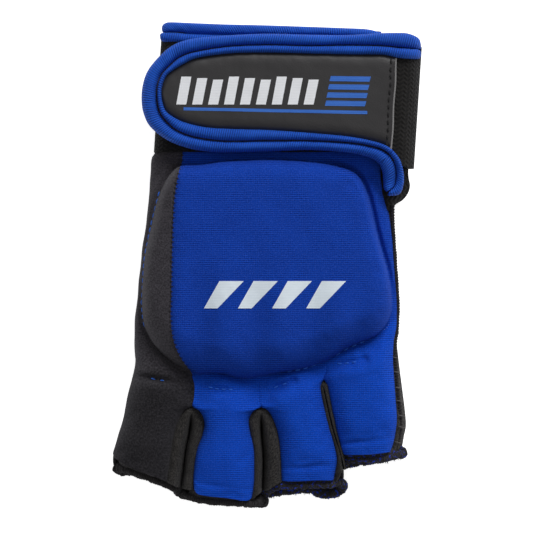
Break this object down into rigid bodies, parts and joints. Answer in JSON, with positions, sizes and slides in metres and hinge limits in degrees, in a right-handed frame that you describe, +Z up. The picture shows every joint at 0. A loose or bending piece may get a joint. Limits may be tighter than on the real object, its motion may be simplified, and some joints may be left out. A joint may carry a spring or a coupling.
{
  "type": "half-finger padded hockey glove",
  "caption": "Left-hand half-finger hockey glove lying palm down: foam-padded back, open palm, short finger sleeves and a wrap-round wrist strap that peels open.",
  "frame": {"origin": "the middle of the glove's outline on the plane it rests on, palm down", "axes": "+Z up through the back of the hand, +Y from the fingertips to the cuff, +X towards the little finger"},
  "size_m": [0.1032, 0.1624, 0.024],
  "materials": {
    "neoprene_blue": "laminated knit over foam, fine horizontal ribs",
    "neoprene_black": "laminated knit over foam, matte",
    "ribbed_tape_blue": "folded elastic tape with fine cross ribs",
    "webbing_black": "woven elastic webbing",
    "foam": "closed-cell foam",
    "lining": "brushed knit",
    "coated_label": "smooth coated synthetic leather, satin",
    "hook_and_loop": "hook and loop tape"
  },
  "bodies": {
    "hand": {"back_cover": "neoprene_blue", "side_panel": "neoprene_black", "back_foam_pad": "foam", "back_lining": "lining", "thumb_gusset": "neoprene_black", "outer_edge_strip": "neoprene_black", "palm_band": "neoprene_black", "wrist_webbing": "webbing_black", "loop_patch": "hook_and_loop", "cuff_binding": "ribbed_tape_blue", "slit_gusset": "webbing_black", "slit_binding": "ribbed_tape_blue"},
    "strap": {"strap_webbing": "webbing_black", "tongue_base": "neoprene_black", "hook_patch": "hook_and_loop", "strap_label": "coated_label", "strap_binding": "ribbed_tape_blue"},
    "index": {"index_cover": "neoprene_black", "index_pad": "foam", "index_lining": "lining", "index_palm": "neoprene_black", "index_fourchette_thumb_side": "neoprene_black", "index_fourchette_outer_side": "neoprene_black", "index_end_binding": "neoprene_black"},
    "middle": {"middle_cover": "neoprene_blue", "middle_pad": "foam", "middle_lining": "lining", "middle_palm": "neoprene_black", "middle_fourchette_thumb_side": "neoprene_black", "middle_fourchette_outer_side": "neoprene_black", "middle_end_binding": "neoprene_black"},
    "ring": {"ring_cover": "neoprene_blue", "ring_pad": "foam", "ring_lining": "lining", "ring_palm": "neoprene_black", "ring_fourchette_thumb_side": "neoprene_black", "ring_fourchette_outer_side": "neoprene_black", "ring_end_binding": "neoprene_black"},
    "little": {"little_cover": "neoprene_blue", "little_pad": "foam", "little_lining": "lining", "little_palm": "neoprene_black", "little_fourchette_thumb_side": "neoprene_black", "little_fourchette_outer_side": "neoprene_black", "little_end_binding": "neoprene_black"}
  },
  "joints": [
    {"name": "strap_open", "type": "hinge", "parent": "hand", "child": "strap", "pos_m": [0.0495, 0.05334, 0.0082], "axis": [0.0649, 0.9979, 0], "range_deg": [0, 150]},
    {"name": "index_flex", "type": "hinge", "parent": "hand", "child": "index", "pos_m": [-0.0338, -0.03786, 0.0055], "axis": [1, 0, 0], "range_deg": [-10, 70]},
    {"name": "middle_flex", "type": "hinge", "parent": "hand", "child": "middle", "pos_m": [-0.0135, -0.04066, 0.0055], "axis": [1, 0, 0], "range_deg": [-10, 70]},
    {"name": "ring_flex", "type": "hinge", "parent": "hand", "child": "ring", "pos_m": [0.0072, -0.03926, 0.0055], "axis": [1, 0, 0], "range_deg": [-10, 70]},
    {"name": "little_flex", "type": "hinge", "parent": "hand", "child": "little", "pos_m": [0.0306, -0.03206, 0.0055], "axis": [1, 0, 0], "range_deg": [-10, 70]}
  ]
}
